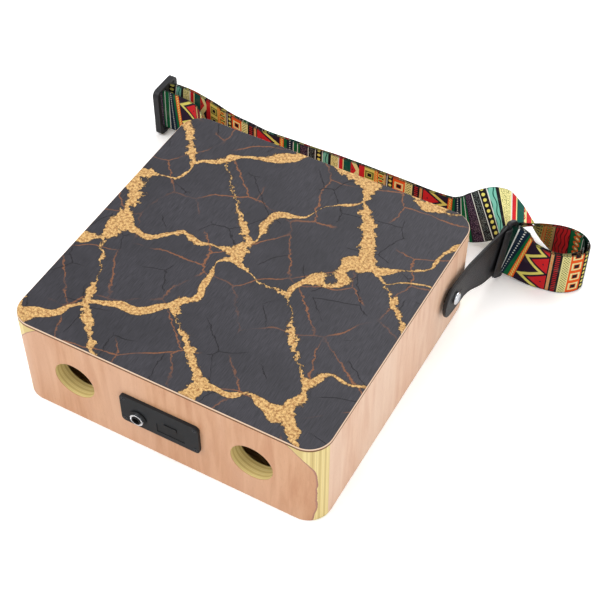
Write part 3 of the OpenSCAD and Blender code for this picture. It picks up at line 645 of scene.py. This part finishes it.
# bands outward from the ring on the outer layer: width, ground, motif, figure, second
NEAR = [(10, GREEN, PLAIN, GREEN, GREEN), (0.9, WHITE, PLAIN, WHITE, WHITE),
        (7, NAVY, DOTS, WHITE, WHITE), (3.4, LEAF, PLAIN, LEAF, LEAF),
        (4.4, ORANGE, DASHES, YELLOW, YELLOW), (26, PLUM, ZIGZAG, YELLOW, SCARLET),
        (1.2, BLACK, PLAIN, BLACK, BLACK), (2.8, TAN, SPECKS, ORANGE, ORANGE),
        (1.0, BLACK, PLAIN, BLACK, BLACK), (5.6, BLACK, BARS, SCARLET, SCARLET),
        (1.2, BLACK, PLAIN, BLACK, BLACK), (8, CREAM_INK, MEANDER, OLIVE, OLIVE),
        (13, ORANGE, SQUARES, CREAM_INK, BLACK), (6, BLACK, CIRCLES, YELLOW, YELLOW),
        (0.8, WHITE, PLAIN, WHITE, WHITE)]
BACK = [(8, PINE, PLAIN, PINE, PINE), (1.0, CREAM_INK, PLAIN, WHITE, WHITE),
        (4, SCARLET, PLAIN, ORANGE, ORANGE), (1, WHITE, PLAIN, WHITE, WHITE),
        (8, CREAM_INK, SPECKS, OLIVE, TAN), (3, BLACK, PLAIN, BLACK, BLACK),
        (6, TEAL, WAVES, PINE, PINE), (0.8, WHITE, PLAIN, WHITE, WHITE),
        (7, BLACK, CIRCLES, YELLOW, YELLOW), (0.8, WHITE, PLAIN, WHITE, WHITE),
        (7, BLACK, SPECKS, (110, 120, 116), TEAL), (0.8, WHITE, PLAIN, WHITE, WHITE),
        (9, PLUM, SPECKS, (120, 96, 112), TEAL), (2, LEAF, PLAIN, LEAF, LEAF),
        (0.8, WHITE, PLAIN, WHITE, WHITE), (4, LEAF, PLAIN, LEAF, LEAF),
        (0.8, WHITE, PLAIN, WHITE, WHITE)] + NEAR[2:]
FAR = [(7, PLUM, SPECKS, TAN, TAN), (5.5, BLACK, DASHES, WHITE, WHITE),
       (8, GREEN, PLAIN, GREEN, GREEN), (0.8, WHITE, PLAIN, WHITE, WHITE),
       (16, LEAF, OVALS, ORANGE, CREAM_INK), (1, BLACK, PLAIN, BLACK, BLACK),
       (15, SCARLET, WAVES, (70, 16, 20), BLACK), (1, BLACK, PLAIN, BLACK, BLACK),
       (2.4, TAN, PLAIN, TAN, TAN), (6, BLACK, OVALS, YELLOW, ORANGE),
       (4, ORANGE, DASHES, YELLOW, YELLOW), (11, YELLOW, SQUARES, OLIVE, BLACK),
       (6, SCARLET, PLAIN, ORANGE, ORANGE), (9, BLACK, ZIGZAG, CREAM_INK, SCARLET)]


def lay_out(bands, reach):
    """Bands repeated in order until they fill the reach, the last one cut to fit."""
    out, used, n = [], 0.0, 0
    while used < reach - 0.05:
        band = bands[n % len(bands)]
        size = min(band[0], reach - used)
        out.append((size,) + band[1:])
        used, n = used + size, n + 1
    return out


def with_lead(lead, rest, lead_reach, reach):
    """One list over the first stretch and another over what is left."""
    return lay_out(lead, lead_reach) + lay_out(rest, reach - lead_reach)


inner_bands = with_lead(NEAR, FAR + BACK, 76.0, RING_PLACE)[::-1]
outer_bands = with_lead(NEAR + FAR, BACK + FAR[7:], 178.0, STRIP_LENGTH - RING_PLACE)
bands = inner_bands + outer_bands
edges = np.concatenate([[0], np.cumsum([band[0] for band in bands])])
edges = edges * (STRIP_LENGTH / edges[-1])
steps = [max(1, math.ceil((edges[n + 1] - edges[n]) / 1.6)) for n in range(len(bands))]
places = np.concatenate([np.linspace(edges[n], edges[n + 1], steps[n], endpoint=False)
                         for n in range(len(bands))] + [[STRIP_LENGTH]])
band_of = np.repeat(np.arange(len(bands)), steps)


def along_strip(values):
    """Values on the strip's centreline, read at the rows' places."""
    return np.stack([np.interp(places, walked, values[:, c]) for c in range(3)], axis=1)


centre, across = along_strip(centre), unit(along_strip(across))
tangent = unit(np.gradient(centre, axis=0))
normal = unit(np.cross(tangent, across))
HALF_ROUND = 24
turns = np.linspace(0, 2 * np.pi, 2 * HALF_ROUND, endpoint=False)
# a flat oval, its width and thickness drawn out towards a rectangle with rounded ends
w_part = np.sign(np.cos(turns)) * np.abs(np.cos(turns)) ** 0.72
t_part = np.sign(np.sin(turns)) * np.abs(np.sin(turns)) ** 0.22
sideways = w_part * STRAP_HALF
thick = t_part * CLOTH_HALF * (1 + 0.12 * np.abs(w_part) ** 12)
pucker = 0.16 * np.sin(places / 7.3)[:, None] * np.abs(w_part)[None, :] ** 6
cup = 0.5 * np.sin(places / 57.0)[:, None] * (w_part ** 2 - 0.4)[None, :] * 0.5
rings = (centre[:, None] + across[:, None] * sideways[None, :, None]
         + normal[:, None] * (thick[None, :] + pucker + cup)[:, :, None])
strap, corners, flipped = tube_mesh("strap_webbing", rings)

rows = corners // len(turns)
quad_row = rows[:-2 * len(turns)].reshape(-1, 4).min(axis=1)
corner_band = np.concatenate([np.repeat(band_of[quad_row], 4), np.zeros(len(turns), int),
                              np.full(len(turns), len(bands) - 1)])
from_edge = places[rows] - edges[corner_band]
sizes = np.diff(edges)[corner_band]
cloth = strap.data.uv_layers.new(name="cloth")
cloth.data.foreach_set("uv", np.stack(
    [sideways[corners % len(turns)], places[rows]], axis=1).astype(np.float32).ravel())
inside = strap.data.uv_layers.new(name="band")
inside.data.foreach_set("uv", np.stack([from_edge, sizes], axis=1).astype(
    np.float32).ravel())
for layer, column in (("ground", 1), ("figure", 3), ("second", 4)):
    ink = np.array([srgb(*band[column]) for band in bands], np.float32)[corner_band]
    strap.data.color_attributes.new(layer, "FLOAT_COLOR", "CORNER").data.foreach_set(
        "color", ink.ravel())
strap.data.attributes.new("motif", "FLOAT", "CORNER").data.foreach_set(
    "value", np.array([band[2] for band in bands], np.float32)[corner_band])

s = Surface("printed_webbing")
across_mm, along_mm, _ = s.split(s.add("ShaderNodeUVMap", {"uv_map": "cloth"}))
v, band_w, _ = s.split(s.add("ShaderNodeUVMap", {"uv_map": "band"}))
motif = s.add("ShaderNodeAttribute", {"attribute_name": "motif"}, out="Fac")
ground, figure, second = (s.add("ShaderNodeAttribute", {"attribute_name": ink}, out="Color")
                          for ink in ("ground", "figure", "second"))
bleed = s.noise(s.at(across_mm * 0.9, along_mm * 0.9, 0.0), 1.0, 2.0)
a = across_mm + (bleed - 0.5) * 0.5 + 50.0
mid = v - band_w * 0.5 + (bleed - 0.5) * 0.4


def cell(period):
    """Distance from the middle of the cell that a point lies in, across the strap."""
    return abs(a.repeat(period) - period / 2)


def round_spot(period, radius, stretch=1.0):
    """Distance from an oval's rim, negative inside; stretch is its length over width."""
    return (cell(period) ** 2.0 + (mid / stretch) ** 2.0) ** 0.5 - radius


def ink_line(distance, half_width):
    """1 within half a line's width of zero distance, softened at its edge."""
    return abs(distance).ramp(half_width + 0.18, half_width - 0.18)


tooth = cell(23.0) / 11.5
climb = v / band_w - tooth * 0.72
figures = [
    0.0,
    round_spot(2.7, 0.62).ramp(0.2, -0.2),
    ink_line(round_spot(6.5, 2.1, 1.55), 0.55),
    (abs(climb - 0.09) * band_w).ramp(3.0, 2.6),
    ink_line(a.repeat(2.5) - 1.25, 0.5) * abs(mid / band_w).ramp(0.36, 0.30),
    (((across_mm * 1.9).math("SINE") * (v * 2.1).math("SINE")).ramp(0.05, 0.35)
     * abs(mid / band_w).ramp(0.40, 0.34)),
    ink_line(cell(13.5).most(abs(mid)) - 3.9, 0.85),
    (a + v).repeat(2.9).ramp(1.1, 1.4) * abs(mid / band_w).ramp(0.30, 0.24),
    ink_line((v + (a * 0.33).math("SINE") * 0.8).repeat(4.2) - 2.1, 0.5),
    (s.noise(s.at(a * 1.1, v * 1.1, 3.0), 1.0, 1.0).ramp(0.54, 0.58)
     * abs(mid / band_w).ramp(0.44, 0.36)),
    round_spot(5.6, 1.7).ramp(0.2, -0.2)]
seconds = {
    OVALS: round_spot(6.5, 1.1, 1.8).ramp(0.2, -0.2),
    ZIGZAG: (climb - 0.34).ramp(0.0, 0.03) * (1.0 - (cell(23.0) + abs(v - band_w * 0.82) * 1.2
                                                    ).ramp(1.3, 1.0)),
    SQUARES: cell(13.5).most(abs(mid)).ramp(2.5, 2.1)}
figure_mask, second_mask = 0.0, 0.0
for number, mask in enumerate(figures[1:], 1):
    chosen = motif.math("COMPARE", float(number), 0.5)
    figure_mask = chosen * mask + figure_mask
    if number in seconds:
        second_mask = chosen * seconds[number] + second_mask
ink = s.mix(figure_mask.least(1.0), ground, figure)
ink = s.mix(second_mask.least(1.0), ink, second)
selvedge = abs(across_mm).ramp(24.0, 24.5)
ink = s.mix(selvedge * 0.75, ink, srgb(26, 34, 30))
rib = abs((along_mm / 0.95).repeat(1.0) - 0.5) * 2.0
twill = abs(((across_mm + along_mm * 0.5) / 0.8).repeat(1.0) - 0.5) * 2.0
thread = rib * 0.6 + twill * 0.5
worn = s.noise(s.at(across_mm * 0.08, along_mm * 0.05, 2.0), 1.0, 3.0)
# Painted shade: the print is darkened towards near black in the gaps between the threads.
ink = s.mix(thread.ramp(0.75, 0.1) * 0.28, ink, srgb(16, 16, 18))
ink = s.mix(worn.ramp(0.55, 0.8) * 0.12, ink, srgb(176, 168, 150))
s.set(base_color=ink, roughness=0.74 + thread * 0.1, normal=s.bump(thread, 0.12))
s.shader.inputs["Specular IOR Level"].default_value = 0.12
fit_out(strap, "strap", s.material,
        ["webbing_loop", "webbing_twist", "webbing_back", "webbing_rear_left",
         "webbing_tail"])


# ---------------------------------------------------------------- leather tabs
# Thick black bridle leather, cut with a round nose and a keyhole slit, its edges burnished
# round and a line pressed in beside them. The right tab carries the ring in a sewn sleeve.
BUTTON = np.array((153.3, 96.0, 50.0))
FALL = math.radians(10.63)
RUN_DOWN = np.array((0, math.cos(FALL), -math.sin(FALL)))
RUN_UP = np.array((0, math.sin(FALL), math.cos(FALL)))
NOSE, NOSE_R, LEATHER_HALF = 21.0, 18.0, 1.7


def ease(t):
    """Smooth step from 0 to 1: three t squared less two t cubed."""
    t = np.clip(t, 0, 1)
    return t * t * (3 - 2 * t)


def tab_rings(run, out, skew, side):
    """Cross-sections of a tab. Half-width follows the round nose, the parallel part and the
    flare; the face is thinned by a pressed line 3 mm in from a rim that swells a little."""
    u = np.concatenate([(1 - np.cos(np.linspace(0, np.pi / 2, 26)))[:-1] * NOSE_R - NOSE,
                        np.linspace(NOSE_R - NOSE, run, 110)])
    nose = np.sqrt(np.clip(NOSE_R ** 2 - (u + NOSE - NOSE_R) ** 2, 0, None))
    half = np.where(u < NOSE_R - NOSE, np.maximum(nose, 0.5),
                    NOSE_R + (STRAP_HALF - NOSE_R) * ease((u - run * 0.34) / (run * 0.5)))
    turns = np.linspace(0, 2 * np.pi, 120, endpoint=False)
    c, d = np.cos(turns), np.sin(turns)
    w_part = np.sign(c) * np.abs(c) ** 0.55
    t_part = np.sign(d) * np.abs(d) ** 0.34
    w = half[:, None] * w_part
    from_rim = half[:, None] - np.abs(w)
    body = (LEATHER_HALF - 0.42 * np.exp(-((from_rim - 3.1) / 0.55) ** 2)
            + 0.14 * np.exp(-((from_rim - 1.7) / 0.8) ** 2)
            - 0.20 * ease((from_rim - 3.2) / 3.0))
    body = body * np.minimum(1, (half[:, None] / 3.0)) ** 0.5
    crease = 0.28 * np.sin(u[:, None] / 2.3 + w / 9.0) * np.exp(
        -((u[:, None] - run * 0.80) / 7.0) ** 2) * np.exp(-(w / 17.0) ** 2)
    lie = u[:, None] + skew * (w / STRAP_HALF) * ease((u[:, None] - 20) / (run - 20))
    reach = run - 22.0 + skew + 2.0
    away = out * ease((lie - 22.0) / reach) + LEATHER_HALF
    lift = t_part * body + crease - 0.35 * np.exp(-((lie - 34) / 14.0) ** 2)
    spots = (BUTTON + lie[:, :, None] * RUN_DOWN + w[:, :, None] * RUN_UP
             + (away + lift)[:, :, None] * np.array((1.0, 0, 0)))
    return spots * np.array((side, 1.0, 1.0)), half, u


def hide(name, side):
    """Black leather: pebbled grain of small cells between fine creases, paler where it is rubbed,
    paler down the middle of its face past the button, and a keyhole slit painted near black as
    painted shade in the cut."""
    s = Surface(name)
    down = (s.y - 96.0) * math.cos(FALL) - (s.z - 50.0) * math.sin(FALL)
    over = (s.y - 96.0) * math.sin(FALL) + (s.z - 50.0) * math.cos(FALL)
    pebble = s.add("ShaderNodeTexVoronoi", {"feature": "DISTANCE_TO_EDGE"},
                   vector=s.at(s.x * 0.9, s.y * 0.9, s.z * 0.9), scale=1.0)
    folds = s.noise(s.at(s.x * 0.2, down * 0.55, over * 0.10), 1.0, 4.0, 0.6, 0.5)
    rub = s.noise(s.at(s.x * 0.06, s.y * 0.06, s.z * 0.06), 1.0, 3.0)
    # A paler band down the middle of the face, from the button onward, set by position rather
    # than by the rub noise.
    middle = (down.ramp(0.0, 40.0) * (26.0 - abs(over)).ramp(6.0, 20.0))
    tone = s.mix(rub.ramp(0.35, 0.7) * 0.4 + middle * 0.5, srgb(17, 17, 19),
                 srgb(52, 51, 54))
    # Painted shade: the keyhole slit and its eye are coloured near black, as the shade inside a
    # cut.
    slit = abs(over).ramp(0.75, 0.35) * down.ramp(13.6, 13.0) * down.ramp(2.0, 3.0)
    eye = ((down - 13.0) ** 2.0 + over ** 2.0) ** 0.5
    cut = slit.most(eye.ramp(1.5, 1.1))
    tone = s.mix(cut, tone, srgb(4, 4, 5))
    relief = pebble.ramp(0.0, 0.16) * 0.5 + folds * 0.6 - cut * 3.0
    s.set(base_color=tone, roughness=0.42 + rub * 0.14 + cut * 0.3,
          normal=s.bump(relief, 0.10))
    s.shader.inputs["Specular IOR Level"].default_value = 0.35
    s.shader.inputs["Coat Weight"].default_value = 0.08
    s.shader.inputs["Coat Roughness"].default_value = 0.4
    return s.material


LEATHER = hide("black_hide", 1)
for name, run, out, skew, side in (("tab_right", 90.0, 9.0, 6.9, 1.0),
                                   ("tab_left", 70.0, 6.0, 0.0, -1.0)):
    shape, _, _ = tab_rings(run, out, skew, side)
    tab, _, _ = tube_mesh("leather_" + name, shape)
    fit_out(tab, "strap", LEATHER, [name])


# ---------------------------------------------------------------- sleeves and stitches
# A strip of the same leather folded round the ring's near bar and sewn through the tab.
# Waxed black thread, 3 mm stitches.
RING_LEAN = math.radians(26)
bar_up = np.array((0, math.sin(RING_LEAN), math.cos(RING_LEAN)))
bar_on = np.array((0, math.cos(RING_LEAN), -math.sin(RING_LEAN)))


def fold_rings(middle, up, on, side_way, back, radius, flat, half_width, wall):
    """A strip folded into a U: straight legs a little apart, a half circle round the bar,
    walls of even thickness; the profile is carried along the bar, thinning at its ends."""
    s = np.linspace(0, 1, 16)
    leg_on = -back * (1 - s)
    leg_off = flat + (radius - flat) * ease(s * 1.15 - 0.15)
    bend = np.linspace(np.pi / 2, -np.pi / 2, 20)[1:-1]
    on_mid = np.concatenate([leg_on, radius * np.cos(bend), leg_on[::-1]])
    off_mid = np.concatenate([leg_off, radius * np.sin(bend), -leg_off[::-1]])
    line = np.stack([on_mid, off_mid], axis=1)
    way = unit(np.gradient(line, axis=0))
    square = np.stack([way[:, 1], -way[:, 0]], axis=1)
    rows = np.concatenate([-half_width + 0.7 * (1 - np.cos(np.linspace(0, np.pi / 2, 5))),
                           np.linspace(-half_width + 0.7, half_width - 0.7, 40)[1:-1],
                           half_width - 0.7 * (1 - np.cos(np.linspace(np.pi / 2, 0, 5)))])
    near_end = np.clip((half_width - np.abs(rows)) / 0.7, 0, 1)
    thin = wall * (0.45 + 0.55 * np.sqrt(1 - (1 - near_end) ** 2))
    taper = np.concatenate([[0.35, 0.75], np.ones(len(line) - 4), [0.75, 0.35]])
    outer = line[None] - square[None] * (thin[:, None] * taper[None])[:, :, None]
    inner = line[None] + square[None] * (thin[:, None] * taper[None])[:, :, None]
    profile = np.concatenate([outer, inner[:, ::-1]], axis=1)
    return (middle + rows[:, None, None] * up + profile[:, :, :1] * on
            + profile[:, :, 1:] * side_way)


def stitch_row(name, start, end, out, count, length=2.3, thick=0.32):
    """Stitches as small half-sunk ovals in a row: each is a unit sphere stretched along the
    row and set at even spacing; all share one mesh."""
    lat = np.linspace(0, np.pi, 7)
    lon = np.linspace(0, 2 * np.pi, 9)[:-1]
    way = (end - start) / np.linalg.norm(end - start)
    third = np.cross(way, out)
    ball = (np.cos(lat)[:, None, None] * way * length / 2
            + np.sin(lat)[:, None, None] * thick * (np.cos(lon)[None, :, None] * out
                                                    + np.sin(lon)[None, :, None] * third))
    spots = start + (end - start) * ((np.arange(count) + 0.5) / count)[:, None]
    points = (spots[:, None, None] + ball[None]).reshape(-1, 3)
    rows, around = len(lat), len(lon)
    i, k = np.meshgrid(np.arange(rows - 1), np.arange(around), indexing="ij")
    quad = np.stack([i * around + k, (i + 1) * around + k,
                     (i + 1) * around + (k + 1) % around, i * around + (k + 1) % around],
                    axis=2).reshape(-1, 4)
    quads = (quad[None] + (np.arange(count) * rows * around)[:, None, None]).reshape(-1, 4)
    mesh = bpy.data.meshes.new(name)
    mesh.from_pydata((points * MM).tolist(), [], quads.tolist())
    shell = bmesh.new()
    shell.from_mesh(mesh)
    bmesh.ops.remove_doubles(shell, verts=shell.verts, dist=1e-7)
    bmesh.ops.recalc_face_normals(shell, faces=shell.faces)
    shell.to_mesh(mesh)
    shell.free()
    mesh.polygons.foreach_set("use_smooth", np.ones(len(mesh.polygons), bool))
    piece = bpy.data.objects.new(name, mesh)
    bpy.context.scene.collection.objects.link(piece)
    return piece


s = Surface("waxed_thread")
ply = abs(((s.y + s.z + s.x) / 0.5).repeat(1.0) - 0.5) * 2.0
s.set(base_color=s.mix(ply, srgb(26, 26, 28), srgb(58, 57, 60)), roughness=0.55,
      normal=s.bump(ply, 0.05))
THREAD = s.material

near_bar = np.array((164.5, 186.7, 32.3))
sleeve, _, _ = tube_mesh("ring_sleeve", fold_rings(
    near_bar, bar_up, bar_on, np.array((1.0, 0, 0)), 15.0, 3.9, 2.7, 23.6, 0.75))
fit_out(sleeve, "strap", LEATHER)
sewn = near_bar - bar_on * 11.0 + np.array((3.3, 0, 0))
for row, shift in enumerate((0.0, -3.2)):
    line = sewn + bar_on * shift
    fit_out(stitch_row("sleeve_stitches_%d" % row, line - bar_up * 21, line + bar_up * 21,
                       np.array((1.0, 0, 0)), 14), "strap", THREAD)


# ---------------------------------------------------------------- floor and light
# A plain pale sweep under soft light from all round, with two large soft boxes above.
# The camera sees plain white beyond it; the floor keeps the part's soft shadow.
floor_mesh = bpy.data.meshes.new("floor")
half = 4.0
floor_mesh.from_pydata([(-half, -half, -0.0004), (half, -half, -0.0004),
                        (half, half, -0.0004), (-half, half, -0.0004)], [], [(0, 1, 2, 3)])
floor = bpy.data.objects.new("floor", floor_mesh)
bpy.context.scene.collection.objects.link(floor)
s = Surface("floor_paper")
seen = s.add("ShaderNodeLightPath", {}, out="Is Camera Ray")
s.set(base_color=s.mix(seen, (0.82, 0.82, 0.82, 1.0), (1.22, 1.22, 1.22, 1.0)), roughness=0.9)
s.shader.inputs["Specular IOR Level"].default_value = 0.1
floor_mesh.materials.append(s.material)

world = bpy.data.worlds.new("studio")
bpy.context.scene.world = world
world.use_nodes = True
sky = world.node_tree.nodes["Background"]
sky.inputs[0].default_value = (1.0, 1.0, 1.0, 1.0)
sky.inputs[1].default_value = 0.72
white = world.node_tree.nodes.new("ShaderNodeBackground")
white.inputs[1].default_value = 1.0
ray = world.node_tree.nodes.new("ShaderNodeLightPath")
pick = world.node_tree.nodes.new("ShaderNodeMixShader")
world.node_tree.links.new(ray.outputs["Is Camera Ray"], pick.inputs[0])
world.node_tree.links.new(sky.outputs[0], pick.inputs[1])
world.node_tree.links.new(white.outputs[0], pick.inputs[2])
world.node_tree.links.new(pick.outputs[0],
                          world.node_tree.nodes["World Output"].inputs["Surface"])
for name, spot, size, power in (("key", (-0.9, -0.7, 1.5), 1.0, 13.0),
                                ("fill", (1.3, -0.5, 1.1), 1.1, 5.0),
                                ("back", (0.12, 0.98, 1.3), 1.2, 11.0)):
    lamp = bpy.data.lights.new(name, "AREA")
    lamp.size, lamp.energy = size, power
    box = bpy.data.objects.new(name, lamp)
    bpy.context.scene.collection.objects.link(box)
    box.location = spot
    box.rotation_euler = (Vector((0, 0, 0.05)) - Vector(spot)).to_track_quat(
        "-Z", "Y").to_euler()
bpy.context.scene.view_settings.view_transform = "Standard"
